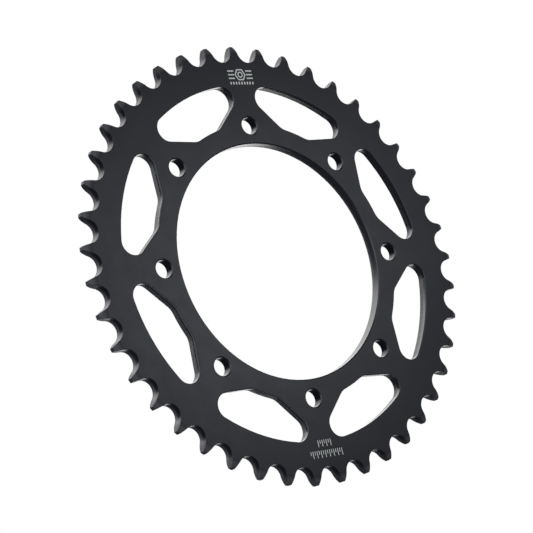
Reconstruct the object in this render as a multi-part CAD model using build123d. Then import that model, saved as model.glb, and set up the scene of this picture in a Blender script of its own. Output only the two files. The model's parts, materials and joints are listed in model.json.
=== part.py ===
from build123d import *
import os
from math import asin, atan, cos, degrees, pi, radians, sin, sqrt

# Rear sprocket of a motorcycle, blanked and machined in one piece from flat steel plate.
# Frame: origin at the centre of the bore, at mid-thickness. +Z is the sprocket's axis and points out of
# the outer face, away from the wheel. The first bolt hole is half a spacing short of +X, so the windows
# lie on the axes and halfway between them. Lengths are in millimetres, and angles in degrees.

# Plate
PLATE_THICKNESS = 5.6
FACE_Z = PLATE_THICKNESS / 2

# Teeth, for a roller chain
CHAIN_PITCH = 15.875
ROLLER_DIAMETER = 10.16
TOOTH_COUNT = 43
TOOTH_STEP = 360 / TOOTH_COUNT
PITCH_RADIUS = CHAIN_PITCH / 2 / sin(radians(TOOTH_STEP / 2))
ROOT_RADIUS = PITCH_RADIUS - ROLLER_DIAMETER / 2
TIP_RADIUS = 112.3
TIP_ROUND = 0.3            # rounding of a tip's two corners
SEAT_RADIUS = 5.7          # arc that a roller sits in
SEAT_ANGLE = 139.0         # how far that arc turns
FLANK_RADIUS = 100.0       # convex side of a tooth, tangent to the seat
FLANK_SWEEP = 4.0          # enough for that side to run past the tip circle
RELIEF_DEPTH = 1.5         # how far each face falls away at the tips
RELIEF_RADIUS = 8.0        # arc of that fall, tangent to the face
TOOTH_EDGE_ROUND = 0.25    # tumbled edge all round the teeth
TOOTH_CLOCK = -0.35        # a gap's centre, measured from the first bolt hole

# Bore and bolt circle
BORE_RADIUS = 60.5
BORE_CHAMFER = 0.5
BOLT_COUNT = 8
BOLT_STEP = 360 / BOLT_COUNT
BOLT_CLOCK = -BOLT_STEP / 2
BOLT_CIRCLE_RADIUS = 70.0
BOLT_HOLE_RADIUS = 4.5
BOLT_HOLE_CHAMFER = 0.5

# Lightening windows, one between each two bolt holes
WINDOW_CLOCK = -0.5        # a window's centre, measured from midway between two holes
WINDOW_INNER_RADIUS = 70.7
WINDOW_OUTER_RADIUS = 91.4
WINDOW_SIDE_OFFSET = 60.7  # distance of a straight side's line from the sprocket's centre
WINDOW_SIDE_SLOPE = 24.4   # that line's angle to the tangential direction
WINDOW_END_ROUND = 6.4     # corners at the outer arc
WINDOW_WAIST_ROUND = 8.0   # corners at the inner arc
WINDOW_LAND = 2.0          # depth of the straight, burnished part of the wall
WINDOW_BREAKOUT = 0.5      # how much wider the fracture is, all round, at the inner face
WINDOW_ROLLOVER = 0.5      # rounding at the outer face, where the punch goes in
WINDOW_DEBURR = 0.3        # rounding at the inner face


def turned_blank():
    """Disc whose rim is relieved on both faces, so that the teeth enter between a chain's links."""
    tip_z = FACE_Z - RELIEF_DEPTH
    relief_height = sqrt(RELIEF_RADIUS**2 - (RELIEF_RADIUS - RELIEF_DEPTH) ** 2)
    relief_turn = degrees(asin(relief_height / RELIEF_RADIUS))
    relief_start = TIP_RADIUS - relief_height
    arc_z = FACE_Z - RELIEF_RADIUS
    with BuildPart() as blank:
        with BuildSketch(Plane.XZ):
            with BuildLine():
                Polyline((0, -FACE_Z), (0, FACE_Z), (relief_start, FACE_Z))
                CenterArc((relief_start, arc_z), RELIEF_RADIUS, 90, -relief_turn)
                Line((TIP_RADIUS, tip_z), (TIP_RADIUS, -tip_z))
                CenterArc((relief_start, -arc_z), RELIEF_RADIUS, -90, relief_turn)
                Line((relief_start, -FACE_Z), (0, -FACE_Z))
            make_face()
        revolve(axis=Axis.Z)
    return blank.part


def gap_between_teeth():
    """One gap, centred on +X: a roller's seat, with a convex flank on each side of it."""
    seat_x = ROOT_RADIUS + SEAT_RADIUS
    half_turn = SEAT_ANGLE / 2
    reach = SEAT_RADIUS + FLANK_RADIUS
    flank_x = seat_x - reach * cos(radians(half_turn))
    flank_y = reach * sin(radians(half_turn))
    with BuildSketch() as gap:
        with BuildLine():
            CenterArc((seat_x, 0), SEAT_RADIUS, 180 - half_turn, SEAT_ANGLE)
            upper = CenterArc((flank_x, flank_y), FLANK_RADIUS, -half_turn, FLANK_SWEEP)
            lower = CenterArc((flank_x, -flank_y), FLANK_RADIUS, half_turn, -FLANK_SWEEP)
            Line(upper @ 1, lower @ 1)
        make_face()
    return gap.sketch


def tooth_outline():
    """Tip circle with a gap cut at every pitch, and the tips' corners rounded."""
    gap = gap_between_teeth()
    first_gap = BOLT_CLOCK + TOOTH_CLOCK
    with BuildSketch() as outline:
        Circle(TIP_RADIUS)
        for tooth in range(TOOTH_COUNT):
            add(gap, rotation=first_gap + tooth * TOOTH_STEP, mode=Mode.SUBTRACT)
        tip_corners = outline.vertices().filter_by(
            lambda corner: Vector(corner.X, corner.Y).length > TIP_RADIUS - TIP_ROUND
        )
        fillet(tip_corners, TIP_ROUND)
    return outline.sketch


def toothed_blank():
    """The turned blank with its teeth cut, and the edges along them rounded."""
    with BuildPart() as blank:
        add(turned_blank())
        with BuildSketch(Plane.XY.offset(-FACE_Z)):
            add(tooth_outline())
        extrude(amount=PLATE_THICKNESS, mode=Mode.INTERSECT)
        # The relief meets the teeth's walls in the only free-form edges, and the rounding runs on from
        # them along the whole outline.
        fillet(blank.edges().filter_by(GeomType.BSPLINE), TOOTH_EDGE_ROUND)
    return blank.part


def window_side_crossing(radius):
    """Where a straight side's line, at y > 0, crosses a circle about the sprocket's centre."""
    along = sqrt(radius**2 - WINDOW_SIDE_OFFSET**2)
    slope = radians(WINDOW_SIDE_SLOPE)
    x = WINDOW_SIDE_OFFSET * cos(slope) + along * sin(slope)
    y = along * cos(slope) - WINDOW_SIDE_OFFSET * sin(slope)
    return (x, y)


def window_outline():
    """One window, centred on +X: two arcs about the sprocket's centre, joined by two straight sides
    that flare out around the bolt holes, with all four corners rounded."""
    inner_x, inner_y = window_side_crossing(WINDOW_INNER_RADIUS)
    outer_x, outer_y = window_side_crossing(WINDOW_OUTER_RADIUS)
    with BuildSketch() as outline:
        with BuildLine():
            ThreePointArc((inner_x, -inner_y), (WINDOW_INNER_RADIUS, 0), (inner_x, inner_y))
            Line((inner_x, inner_y), (outer_x, outer_y))
            ThreePointArc((outer_x, outer_y), (WINDOW_OUTER_RADIUS, 0), (outer_x, -outer_y))
            Line((outer_x, -outer_y), (inner_x, -inner_y))
        make_face()
        waist_corners = outline.vertices().sort_by(Axis.X)[:2]
        fillet(waist_corners, WINDOW_WAIST_ROUND)
        end_corners = outline.vertices().sort_by(lambda corner: abs(corner.Y))[-2:]
        fillet(end_corners, WINDOW_END_ROUND)
    return outline.sketch


def window_cutter():
    """What a punch takes out: a straight land, then a fracture that widens to the inner face."""
    outline = window_outline()
    fracture_depth = PLATE_THICKNESS - WINDOW_LAND
    fracture_slope = degrees(atan(WINDOW_BREAKOUT / fracture_depth))
    with BuildPart() as cutter:
        with BuildSketch(Plane.XY.offset(FACE_Z - WINDOW_LAND)) as land_end:
            add(outline)
        extrude(amount=WINDOW_LAND)
        extrude(land_end.sketch, amount=-fracture_depth, taper=-fracture_slope)
    return cutter.part


def circles_of(solid, radius):
    """A solid's full circles of one radius."""
    circles = solid.edges().filter_by(GeomType.CIRCLE)
    return circles.filter_by(lambda edge: abs(edge.length - 2 * pi * radius) < 0.01)


def sprocket_plate():
    """The whole plate: teeth, windows, bore and bolt holes."""
    window = window_cutter()
    with BuildPart() as plate:
        add(toothed_blank())
        for place in range(BOLT_COUNT):
            add(window, rotation=(0, 0, WINDOW_CLOCK + place * BOLT_STEP), mode=Mode.SUBTRACT)
        # The windows are the only openings so far, so they are each face's inner wires.
        fillet(plate.faces().sort_by(Axis.Z)[-1].inner_wires().edges(), WINDOW_ROLLOVER)
        fillet(plate.faces().sort_by(Axis.Z)[0].inner_wires().edges(), WINDOW_DEBURR)
        with BuildSketch(Plane.XY.offset(-FACE_Z)):
            Circle(BORE_RADIUS)
            with PolarLocations(BOLT_CIRCLE_RADIUS, BOLT_COUNT, start_angle=BOLT_CLOCK):
                Circle(BOLT_HOLE_RADIUS)
        extrude(amount=PLATE_THICKNESS, mode=Mode.SUBTRACT)
        chamfer(circles_of(plate, BORE_RADIUS), BORE_CHAMFER)
        chamfer(circles_of(plate, BOLT_HOLE_RADIUS), BOLT_HOLE_CHAMFER)
    return plate.part


os.makedirs("parts", exist_ok=True)
export_step(sprocket_plate(), "parts/sprocket_plate.step")
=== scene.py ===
import json
from math import cos, pi, radians, sin, tau

import bmesh
import bpy
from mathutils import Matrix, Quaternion, Vector


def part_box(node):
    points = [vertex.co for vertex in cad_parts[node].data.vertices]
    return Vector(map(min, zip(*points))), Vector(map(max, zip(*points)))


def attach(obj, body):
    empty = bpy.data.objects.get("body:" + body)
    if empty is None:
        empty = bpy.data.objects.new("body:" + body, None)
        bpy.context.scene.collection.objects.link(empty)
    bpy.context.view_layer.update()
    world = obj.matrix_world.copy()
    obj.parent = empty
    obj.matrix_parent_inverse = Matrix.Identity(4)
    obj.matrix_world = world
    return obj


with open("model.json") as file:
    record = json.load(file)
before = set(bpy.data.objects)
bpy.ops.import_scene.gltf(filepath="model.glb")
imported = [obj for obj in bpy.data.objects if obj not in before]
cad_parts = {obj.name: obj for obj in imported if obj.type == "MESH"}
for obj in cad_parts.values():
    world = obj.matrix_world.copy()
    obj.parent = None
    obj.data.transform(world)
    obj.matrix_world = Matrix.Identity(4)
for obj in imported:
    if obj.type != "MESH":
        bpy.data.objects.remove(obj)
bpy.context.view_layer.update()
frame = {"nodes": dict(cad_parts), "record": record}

# The frame is in metres. Sizes below are in millimetres, unless their names say otherwise.
MM = 0.001
MICRON = 0.001 * MM
PLATE = "sprocket_plate"
BODY = "root"
SLOT = "black_steel"

mounts = {mount["name"]: mount for mount in frame["record"]["mounts"]}
FACE_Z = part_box(PLATE)[1].z / MM
BORE_RADIUS = mounts["bore"]["dims"]["r_mm"]
BOLT_CIRCLE_RADIUS = mounts["bolt_circle"]["dims"]["pcd_mm"] / 2
BOLT_HOLE_RADIUS = mounts["bolt_circle"]["dims"]["hole_r_mm"]
BOLT_STEP = tau / mounts["bolt_circle"]["dims"]["count"]
BOLT_CLOCK = BOLT_STEP / 2           # angle of the first bolt hole from +X
PITCH_RADIUS = mounts["chain_teeth"]["dims"]["pcd_mm"] / 2

# Camera: where its axis meets the plate, the direction it looks from, and its turn about that axis
CAMERA_AIM = Vector((-1.05, -8.03, 0))
CAMERA_DISTANCE = 972.3
CAMERA_AZIMUTH = -5.18
CAMERA_ELEVATION = 50.10
CAMERA_ROLL = 63.39
CAMERA_LENS = 134.24
CAMERA_SENSOR = 36

# Studio: a white sweep lies beyond and under the sprocket, and the room on the camera's side is dark.
# Softboxes stand round it, each with its direction, the angles where its light starts and ends to
# fade, its strength and its colour.
ROOM_COLOUR = (0.060, 0.070, 0.095)
SWEEP_AZIMUTH = 206.5
SWEEP_FADE = (-0.10, 0.18)
SWEEP_HORIZON = (-0.20, -0.60)
SWEEP_STRENGTH = 2.1
SWEEP_COLOUR = (1.0, 0.985, 0.97)
SOFTBOXES = [
    {"azimuth": -49, "elevation": 36, "fade": (8, 48), "strength": 1.2, "colour": (0.97, 1.0, 1.0)},
    {"azimuth": 178, "elevation": 82, "fade": (30, 58), "strength": 0.20, "colour": (0.95, 1.0, 1.08)},
]
WHITE = (1, 1, 1, 1)
KEY_AIM = Vector((-6, -60, 0))
KEY_DISTANCE = 500
KEY_SIZE = 220
KEY_WATTS = 0.32
FLOOR_HALF = 4000
FLOOR_GAP = 0.1

# Where each kind of surface lies. In a pair, the share of a surface starts at the first number and is
# whole at the second, which may be the smaller one. A tilt is 1 on the faces and 0 on upright walls.
WALL_TILT = (0.62, 0.30)
EDGE_TILT_OVER_WALL = (0.25, 0.50)
EDGE_TILT_UNDER_FACE = (0.93, 0.80)
TEETH_RADIUS = (PITCH_RADIUS - 10, PITCH_RADIUS - 8)
# The teeth's outer ends are painted paler, as a painted highlight.
LIT_TIPS_RADIUS = (PITCH_RADIUS - 1.5, PITCH_RADIUS + 2)
BORE_ZONE_RADIUS = (BORE_RADIUS + 1.5, BORE_RADIUS + 0.9)
HOLE_ZONE_RADIUS = (BOLT_HOLE_RADIUS + 1.5, BOLT_HOLE_RADIUS + 0.9)
WINDOWS_INNER_RADIUS = (BORE_RADIUS + 4, BORE_RADIUS + 6)      # between these two lie the windows
WINDOWS_OUTER_RADIUS = (PITCH_RADIUS - 12, PITCH_RADIUS - 14)
WAIST_FACING = (-0.2, 0.2)           # a window's wall next to the bore faces outwards
LAND_DEPTH = 2.2                     # burnished part of a punched wall, from the outer face down
WAIST_LAND_DEPTH = 1.7               # the same on a window's wall next to the bore
TEAR_WANDER = 0.35                   # how unevenly the burnished part ends
TEAR_BLEND = (-0.12, 0.12)
LIT_BELOW_LAND = (0.9, 1.8)        # rough part of the teeth's and the bore's walls, painted paler as painted light
LIT_SHARE_IN_BORE = 0.6
SHADED_UPPER_DEPTH = (2.3, 1.4)           # smooth part of the teeth's walls next to the outer face, painted darker as painted shade
LIT_ROLLOVER_DEPTH = (1.2, 0.6)              # where the punch rolled the coated face into the wall, painted paler as painted light
TORN_PATCH = (0.0, 0.5)

# Surfaces. The coating is thin, so tooling marks show through it.
COAT_COLOUR = (0.036, 0.038, 0.0405)
COAT_CLOUD = 1.12                    # how much lighter the coating gets in clouds
CLOUD_BLEND = (-0.6, 0.6)
COAT_ROUGHNESS = 0.40
ROUGHNESS_OF_MOTTLE = 0.05
ROUGHNESS_OF_GRAIN = 0.04
COAT_METAL = 0.9

# Finishes that lie over the coating, each over those before it, some with painted light and shade. A
# glint of less than 1 weakens the reflection at grazing angles. A finish leaves what it doesn't name as
# it was.
FINISHES = {
    "teeth": {"colour": (0.090, 0.091, 0.092), "roughness": 0.32, "glint": 0.85},
    # Painted shade: the teeth's walls are painted darker next to the outer face.
    "shaded_upper_wall": {"colour": (0.066, 0.066, 0.070), "glint": 0.8},
    "bore": {"colour": (0.120, 0.120, 0.119), "roughness": 0.30},
    # Painted shade: the bolt holes' walls are painted darker than the other walls.
    "hole": {"colour": (0.044, 0.045, 0.048), "roughness": 0.24},
    "land": {"colour": (0.105, 0.106, 0.108), "roughness": 0.22},
    "fracture": {"colour": (0.062, 0.063, 0.065), "roughness": 0.45},
    # Painted light: the torn part of the windows' walls next to the bore is painted paler; it is also
    # rougher.
    "lit_waist_tear": {"colour": (0.16, 0.16, 0.165), "roughness": 0.60, "metal": 0.6},
    # Painted light: the lower part of the teeth's and the bore's walls is painted paler.
    "lit_lower_wall": {"colour": (0.20, 0.198, 0.202), "roughness": 0.50, "metal": 0.5},
    "torn": {"colour": (0.13, 0.131, 0.134)},
    "edge": {"colour": (0.065, 0.068, 0.071), "roughness": 0.30, "glint": 0.25},
    # Painted light: the rollover of the windows' walls next to the bore is painted paler.
    "lit_rollover": {"colour": (0.14, 0.142, 0.148), "roughness": 0.55, "metal": 0.1},
    # Painted highlight: the teeth's outer ends are painted paler.
    "lit_tips": {"colour": (0.105, 0.104, 0.107), "roughness": 0.50, "metal": 0.35},
}

# Noise: how many cells to a millimetre along X, Y and Z, its detail, and how rough that detail is
NOISES = {
    "wander": ((0.45, 0.45, 0.0), 2.0, 0.5),
    "mottle": ((0.13, 0.13, 0.13), 3.0, 0.5),
    "cloud": ((0.035, 0.035, 0.035), 2.0, 0.5),
    "grain": ((6.0, 6.0, 6.0), 1.0, 0.5),
    "shaved": ((5.0, 5.0, 0.12), 1.0, 0.5),
    "bored": ((0.02, 0.02, 7.0), 1.0, 0.5),
    "drilled": ((0.1, 0.1, 4.5), 1.0, 0.5),
    "burnish": ((4.0, 4.0, 0.25), 1.0, 0.5),
    "tear": ((1.6, 1.6, 1.1), 4.0, 0.62),
}

# Relief in microns: its noise, the kind of surface it marks, or None for all, and its height
RELIEFS = [
    ("grain", None, 1.2),
    ("mottle", None, 4.0),
    ("shaved", "teeth", 2.5),
    ("bored", "bore", 1.6),
    ("drilled", "hole", 2.5),
    ("burnish", "land", 6.0),
    ("tear", "fracture", 60.0),
]

# Etched marks, outboard of two opposite bolt holes. Their y is the distance from the sprocket's centre.
ETCH_COLOUR = (0.82, 0.84, 0.78)
ETCH_DIM = 0.7
ETCH_ROUGHNESS = 0.5
FROST_NOISE = ((9.0, 9.0, 9.0), 2.0, 0.5)
FROST_BLEND = (-0.5, 0.5)
FROST_MICRONS = 3.0
ETCH_HEIGHT = 0.012
ETCH_DEPTH = 0.02

EMBLEM_BOLT_HOLE = 3
EMBLEM_SHIFT = 1.4                   # along the rim, from the line through the bolt hole
NUT_Y = 96.9
NUT_OUTLINE = {"radius": 3.4, "stroke": 0.65, "sides": 6}
NUT_BORE = {"radius": 1.6, "stroke": 0.6, "sides": 24}
SIDE_LINE_Y = (94.6, 96.55, 98.5)
SIDE_LINE_X = 5.6
SIDE_LINE_LENGTH = 3.8
SIDE_LINE_STROKE = 0.7
EMBLEM_TICKS = {"count": 9, "y": 91.7, "pitch": 1.7, "stroke": 0.8, "height": 1.4, "short": 1.4}

TICKS_BOLT_HOLE = 7
TICK_ROWS = [
    {"count": 16, "y": 95.8, "pitch": 1.28, "stroke": 0.42, "height": 3.5, "short": 1.925},
    {"count": 7, "y": 90.7, "pitch": 1.28, "stroke": 0.42, "height": 3.3, "short": 1.815},
]

scene = bpy.context.scene
scene.view_settings.view_transform = "Standard"


def direction(azimuth, elevation):
    """Unit vector from the object towards a viewer. Azimuth 0 is the -Y side."""
    a, e = radians(azimuth), radians(elevation)
    return Vector((sin(a) * cos(e), -cos(a) * cos(e), sin(e)))


def opaque(colour, level=1.0):
    """Four-part colour for a shader, made lighter or darker."""
    return tuple(part * level for part in colour) + (1,)


class Nodes:
    """Short calls for building a node tree."""

    def __init__(self, tree):
        self.tree = tree
        tree.nodes.clear()

    def add(self, kind, settings=(), **inputs):
        node = self.tree.nodes.new(kind)
        for name, value in dict(settings).items():
            setattr(node, name, value)
        for name, value in inputs.items():
            self.put(node, name.replace("_", " "), value)
        return node

    def put(self, node, name, value):
        socket = node.inputs[name]
        if isinstance(value, bpy.types.NodeSocket):
            self.tree.links.new(value, socket)
        else:
            socket.default_value = value

    def math(self, operation, *values):
        node = self.add("ShaderNodeMath", {"operation": operation})
        for index, value in enumerate(values):
            self.put(node, index, value)
        return node.outputs[0]

    def vector(self, operation, *values):
        node = self.add("ShaderNodeVectorMath", {"operation": operation})
        for index, value in enumerate(values):
            self.put(node, index, value)
        return node

    def dot(self, a, b):
        return self.vector("DOT_PRODUCT", a, b).outputs["Value"]

    def ramp(self, value, low, high, to_low=0.0, to_high=1.0):
        """Smooth step of a value from one range to another. The range may fall."""
        if low > high:
            low, high, to_low, to_high = high, low, to_high, to_low
        node = self.add("ShaderNodeMapRange", {"interpolation_type": "SMOOTHSTEP"})
        for index, part in enumerate((value, low, high, to_low, to_high)):
            self.put(node, index, part)
        return node.outputs[0]

    def minus(self, a, b):
        return self.math("SUBTRACT", a, b)

    def times(self, *values):
        product = values[0]
        for value in values[1:]:
            product = self.math("MULTIPLY", product, value)
        return product

    def plus(self, *values):
        total = values[0]
        for value in values[1:]:
            total = self.math("ADD", total, value)
        return total

    def blend(self, factor, a, b):
        """Number that goes from a to b."""
        return self.math("MULTIPLY_ADD", factor, self.minus(b, a), a)

    def mix(self, factor, a, b):
        """Colour that goes from a to b."""
        node = self.add("ShaderNodeMix", {"data_type": "RGBA"})
        for index, part in ((0, factor), (6, a), (7, b)):
            self.put(node, index, part)
        return node.outputs[2]

    def place(self):
        """Where a point is on the object, in millimetres."""
        place = self.vector("SCALE", self.add("ShaderNodeTexCoord").outputs["Object"])
        self.put(place, "Scale", 1 / MM)
        return place.outputs[0]

    def noise(self, place, stretch, detail, roughness):
        """Noise from -1 to 1."""
        node = self.add(
            "ShaderNodeTexNoise",
            {"noise_dimensions": "3D", "normalize": True},
            Vector=self.vector("MULTIPLY", place, stretch).outputs[0],
            Scale=1.0,
            Detail=detail,
            Roughness=roughness,
        )
        return self.math("MULTIPLY_ADD", node.outputs[0], 2.0, -1.0)

    def finish_surface(self, microns, **inputs):
        """Main shader, with a relief, and the tree's output."""
        bump = self.add("ShaderNodeBump", Strength=1.0, Distance=MICRON, Height=microns)
        shader = self.add("ShaderNodeBsdfPrincipled", Normal=bump.outputs[0], **inputs)
        self.add("ShaderNodeOutputMaterial", Surface=shader.outputs[0])


def make_camera():
    back = direction(CAMERA_AZIMUTH, CAMERA_ELEVATION)
    data = bpy.data.cameras.new("camera")
    data.lens = CAMERA_LENS
    data.sensor_width = CAMERA_SENSOR
    camera = bpy.data.objects.new("camera", data)
    camera.rotation_mode = "QUATERNION"
    camera.location = (CAMERA_AIM + back * CAMERA_DISTANCE) * MM
    level = (-back).to_track_quat("-Z", "Y")
    camera.rotation_quaternion = level @ Quaternion((0, 0, 1), radians(CAMERA_ROLL))
    scene.collection.objects.link(camera)
    scene.camera = camera


def make_world():
    world = bpy.data.worlds.new("studio")
    scene.world = world
    world.use_nodes = True
    n = Nodes(world.node_tree)
    place = n.add("ShaderNodeTexCoord").outputs["Generated"]

    def shine(total, level, colour):
        lit = n.vector("MULTIPLY", level, colour).outputs[0]
        return n.vector("ADD", lit, total).outputs[0]

    beyond = n.ramp(n.dot(place, direction(SWEEP_AZIMUTH, 0)), *SWEEP_FADE)
    under = n.ramp(n.dot(place, (0, 0, 1)), *SWEEP_HORIZON)
    total = shine(ROOM_COLOUR, n.times(beyond, under, SWEEP_STRENGTH), SWEEP_COLOUR)
    for box in SOFTBOXES:
        towards = n.dot(place, direction(box["azimuth"], box["elevation"]))
        start, end = (cos(radians(angle)) for angle in box["fade"])
        total = shine(total, n.ramp(towards, end, start, 0.0, box["strength"]), box["colour"])
    seen = n.add("ShaderNodeLightPath").outputs["Is Camera Ray"]
    background = n.add("ShaderNodeBackground", Color=n.mix(seen, total, WHITE))
    n.add("ShaderNodeOutputWorld", Surface=background.outputs[0])


def make_key():
    """Softbox over the far side, which the outer face mirrors as a broad pale patch."""
    data = bpy.data.lights.new("key", "AREA")
    data.energy = KEY_WATTS
    data.shape = "DISK"
    data.size = KEY_SIZE * MM
    key = bpy.data.objects.new("key", data)
    camera_side = direction(CAMERA_AZIMUTH, CAMERA_ELEVATION)
    mirrored = Vector((-camera_side.x, -camera_side.y, camera_side.z))
    key.location = (KEY_AIM + mirrored * KEY_DISTANCE) * MM
    key.rotation_mode = "QUATERNION"
    key.rotation_quaternion = (-mirrored).to_track_quat("-Z", "Y")
    scene.collection.objects.link(key)


def make_floor():
    """Plain white floor just under the plate, clear when seen from below."""
    half = FLOOR_HALF * MM
    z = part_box(PLATE)[0].z - FLOOR_GAP * MM
    mesh = bpy.data.meshes.new("floor")
    corners = [(-half, -half, z), (half, -half, z), (half, half, z), (-half, half, z)]
    mesh.from_pydata(corners, [], [(0, 1, 2, 3)])
    floor = bpy.data.objects.new("floor", mesh)
    scene.collection.objects.link(floor)
    material = bpy.data.materials.new("white_floor")
    material.use_nodes = True
    n = Nodes(material.node_tree)
    white = n.add("ShaderNodeEmission", Color=WHITE, Strength=1.0)
    clear = n.add("ShaderNodeBsdfTransparent")
    shader = n.add("ShaderNodeMixShader")
    n.put(shader, 0, n.add("ShaderNodeNewGeometry").outputs["Backfacing"])
    n.put(shader, 1, white.outputs[0])
    n.put(shader, 2, clear.outputs[0])
    n.add("ShaderNodeOutputMaterial", Surface=shader.outputs[0])
    mesh.materials.append(material)
    floor.visible_diffuse = False
    floor.visible_glossy = False
    floor.visible_shadow = False


def zones(n, place, noise):
    """How much of each kind of surface a point is: its place in millimetres and its normal tell."""
    flat_place = n.vector("MULTIPLY", place, (1, 1, 0)).outputs[0]
    radius = n.vector("LENGTH", flat_place).outputs["Value"]
    parts = n.add("ShaderNodeSeparateXYZ", Vector=place)
    depth = n.minus(FACE_Z, parts.outputs["Z"])
    angle = n.math("ARCTAN2", parts.outputs["Y"], parts.outputs["X"])
    from_hole = n.math("WRAP", n.minus(angle, BOLT_CLOCK), BOLT_STEP / 2, -BOLT_STEP / 2)
    across = n.minus(n.times(radius, n.math("COSINE", from_hole)), BOLT_CIRCLE_RADIUS)
    along = n.times(radius, n.math("SINE", from_hole))
    hole_distance = n.math("SQRT", n.plus(n.times(across, across), n.times(along, along)))
    near_hole = n.ramp(hole_distance, *HOLE_ZONE_RADIUS)

    normal = n.add("ShaderNodeNewGeometry").outputs["Normal"]
    tilt = n.math("ABSOLUTE", n.dot(normal, (0, 0, 1)))
    wall = n.ramp(tilt, *WALL_TILT)
    edge = n.times(n.ramp(tilt, *EDGE_TILT_OVER_WALL), n.ramp(tilt, *EDGE_TILT_UNDER_FACE))
    teeth = n.times(wall, n.ramp(radius, *TEETH_RADIUS))
    bore = n.times(wall, n.ramp(radius, *BORE_ZONE_RADIUS))
    hole = n.times(wall, near_hole)
    window = n.minus(wall, n.plus(teeth, bore, hole))
    facing = n.dot(n.vector("NORMALIZE", flat_place).outputs[0], normal)
    waist = n.ramp(facing, *WAIST_FACING)

    # A punched wall is burnished down to an uneven line, and torn below it.
    land_depth = n.blend(waist, LAND_DEPTH, WAIST_LAND_DEPTH)
    tear_line = n.math("MULTIPLY_ADD", noise["wander"], TEAR_WANDER, land_depth)
    below_land = n.minus(depth, tear_line)
    fracture = n.times(window, n.ramp(below_land, *TEAR_BLEND))

    machined = n.plus(teeth, n.times(bore, LIT_SHARE_IN_BORE))
    among_windows = n.times(n.ramp(radius, *WINDOWS_INNER_RADIUS), n.ramp(radius, *WINDOWS_OUTER_RADIUS))
    window_edge = n.times(edge, among_windows, n.minus(1.0, near_hole))
    return {
        "teeth": teeth,
        # Painted shade on the teeth's walls next to the outer face
        "shaded_upper_wall": n.times(teeth, n.ramp(depth, *SHADED_UPPER_DEPTH)),
        "bore": bore,
        # The bolt holes' walls, which carry painted shade
        "hole": hole,
        "land": n.minus(window, fracture),
        "fracture": fracture,
        # Painted light on the torn part of the windows' walls next to the bore
        "lit_waist_tear": n.times(fracture, waist),
        # Painted light on the lower part of the teeth's and the bore's walls
        "lit_lower_wall": n.times(machined, n.ramp(below_land, *LIT_BELOW_LAND)),
        "torn": n.times(fracture, n.ramp(noise["tear"], *TORN_PATCH)),
        "edge": edge,
        # Painted light on the rollover of the windows' walls next to the bore
        "lit_rollover": n.times(waist, n.ramp(depth, *LIT_ROLLOVER_DEPTH), n.plus(window_edge, window)),
        # Painted highlight on the teeth's outer ends
        "lit_tips": n.ramp(radius, *LIT_TIPS_RADIUS),
    }


def plate_material():
    """Satin black coating on machined steel, with the marks of each tool in its walls, and painted light
    and shade on some walls and round the rim.
    """
    material = bpy.data.materials.new(SLOT)
    material.use_nodes = True
    n = Nodes(material.node_tree)
    place = n.place()
    noise = {name: n.noise(place, *settings) for name, settings in NOISES.items()}
    zone = zones(n, place, noise)

    clouds = n.ramp(noise["cloud"], *CLOUD_BLEND)
    colour = n.mix(clouds, opaque(COAT_COLOUR), opaque(COAT_COLOUR, COAT_CLOUD))
    uneven = n.times(noise["mottle"], ROUGHNESS_OF_MOTTLE), n.times(noise["grain"], ROUGHNESS_OF_GRAIN)
    roughness = n.plus(COAT_ROUGHNESS, *uneven)
    metal = COAT_METAL
    glint = WHITE
    for part, finish in FINISHES.items():
        colour = n.mix(zone[part], colour, opaque(finish["colour"]))
        if "roughness" in finish:
            roughness = n.blend(zone[part], roughness, finish["roughness"])
        if "metal" in finish:
            metal = n.blend(zone[part], metal, finish["metal"])
        if "glint" in finish:
            glint = n.mix(zone[part], glint, opaque(WHITE[:3], finish["glint"]))

    microns = 0.0
    for name, part, height in RELIEFS:
        relief = n.times(noise[name], height)
        microns = n.plus(microns, relief if part is None else n.times(relief, zone[part]))
    surface = {"Base_Color": colour, "Metallic": metal, "Roughness": roughness, "Specular_Tint": glint}
    n.finish_surface(microns, **surface)
    return material


def etch_material():
    """Bare steel where a laser burned the coating off, frosted by its overlapping spots."""
    material = bpy.data.materials.new("laser_etch")
    material.use_nodes = True
    n = Nodes(material.node_tree)
    frost = n.noise(n.place(), *FROST_NOISE)
    colour = n.mix(n.ramp(frost, *FROST_BLEND), opaque(ETCH_COLOUR, ETCH_DIM), opaque(ETCH_COLOUR))
    microns = n.times(frost, FROST_MICRONS)
    n.finish_surface(microns, Base_Color=colour, Metallic=1.0, Roughness=ETCH_ROUGHNESS)
    return material


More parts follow.
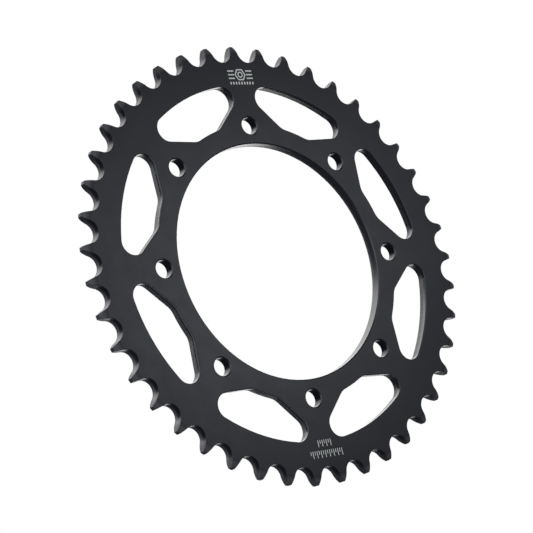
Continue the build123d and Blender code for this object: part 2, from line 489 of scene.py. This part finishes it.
class EtchedMark:
    """Thin flat strokes on the outer face, laid out beside one bolt hole. In a mark's own plane, x runs
    clockwise round the sprocket and y is the distance from the sprocket's centre."""

    def __init__(self, name, bolt_hole):
        self.name = name
        self.mesh = bmesh.new()
        angle = BOLT_CLOCK + bolt_hole * BOLT_STEP
        self.outward = Vector((cos(angle), sin(angle), 0))
        self.clockwise = Vector((sin(angle), -cos(angle), 0))

    def loop(self, points, z):
        made = []
        for x, y in points:
            place = self.clockwise * x + self.outward * y + Vector((0, 0, z))
            made.append(self.mesh.verts.new(place * MM))
        return made

    def prism(self, outer, inner=None):
        """Closed solid over an outline, given counterclockwise, with or without a hole in it."""
        low, high = FACE_Z - ETCH_DEPTH, FACE_Z + ETCH_HEIGHT
        bottom, top = self.loop(outer, low), self.loop(outer, high)
        self.band(bottom, top)
        if inner is None:
            self.mesh.faces.new(top)
            self.mesh.faces.new(bottom[::-1])
            return
        inner_bottom, inner_top = self.loop(inner, low), self.loop(inner, high)
        self.band(inner_top, inner_bottom)
        self.band(top, inner_top)
        self.band(inner_bottom, bottom)

    def band(self, first, second):
        for index in range(len(first)):
            after = (index + 1) % len(first)
            self.mesh.faces.new((first[index], first[after], second[after], second[index]))

    def bar(self, x, y, width, height):
        """Upright bar with the middle of its foot at x, y."""
        left, right = x - width / 2, x + width / 2
        self.prism([(left, y), (right, y), (right, y + height), (left, y + height)])

    def ring(self, x, y, radius, stroke, sides):
        """Regular outline with a corner on its right."""
        outlines = []
        for size in (radius, radius - stroke / cos(pi / sides)):
            angles = [side * tau / sides for side in range(sides)]
            outlines.append([(x + size * cos(a), y + size * sin(a)) for a in angles])
        self.prism(*outlines)

    def ticks(self, x, count, y, pitch, stroke, height, short):
        """Row of ticks, long and short in turn, with its middle at x."""
        for tick in range(count):
            tall = height if tick % 2 == 0 else short
            self.bar(x + (tick - (count - 1) / 2) * pitch, y, stroke, tall)

    def finish(self, material):
        mesh = bpy.data.meshes.new(self.name)
        bmesh.ops.recalc_face_normals(self.mesh, faces=self.mesh.faces)
        self.mesh.to_mesh(mesh)
        self.mesh.free()
        piece = bpy.data.objects.new(self.name, mesh)
        scene.collection.objects.link(piece)
        mesh.materials.append(material)
        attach(piece, BODY)


def make_emblem(material):
    """A nut between two sets of lines, over a row of ticks."""
    mark = EtchedMark("etched_emblem", EMBLEM_BOLT_HOLE)
    mark.ring(EMBLEM_SHIFT, NUT_Y, **NUT_OUTLINE)
    mark.ring(EMBLEM_SHIFT, NUT_Y, **NUT_BORE)
    for side in (-1, 1):
        for y in SIDE_LINE_Y:
            mark.bar(EMBLEM_SHIFT + side * SIDE_LINE_X, y, SIDE_LINE_LENGTH, SIDE_LINE_STROKE)
    mark.ticks(EMBLEM_SHIFT, **EMBLEM_TICKS)
    mark.finish(material)


def make_ticks(material):
    """Two rows of ticks."""
    mark = EtchedMark("etched_ticks", TICKS_BOLT_HOLE)
    for row in TICK_ROWS:
        mark.ticks(0, **row)
    mark.finish(material)


make_camera()
make_world()
make_key()
make_floor()
plate = frame["nodes"][PLATE]
plate.data.materials.clear()
plate.data.materials.append(plate_material())
etch = etch_material()
make_emblem(etch)
make_ticks(etch)
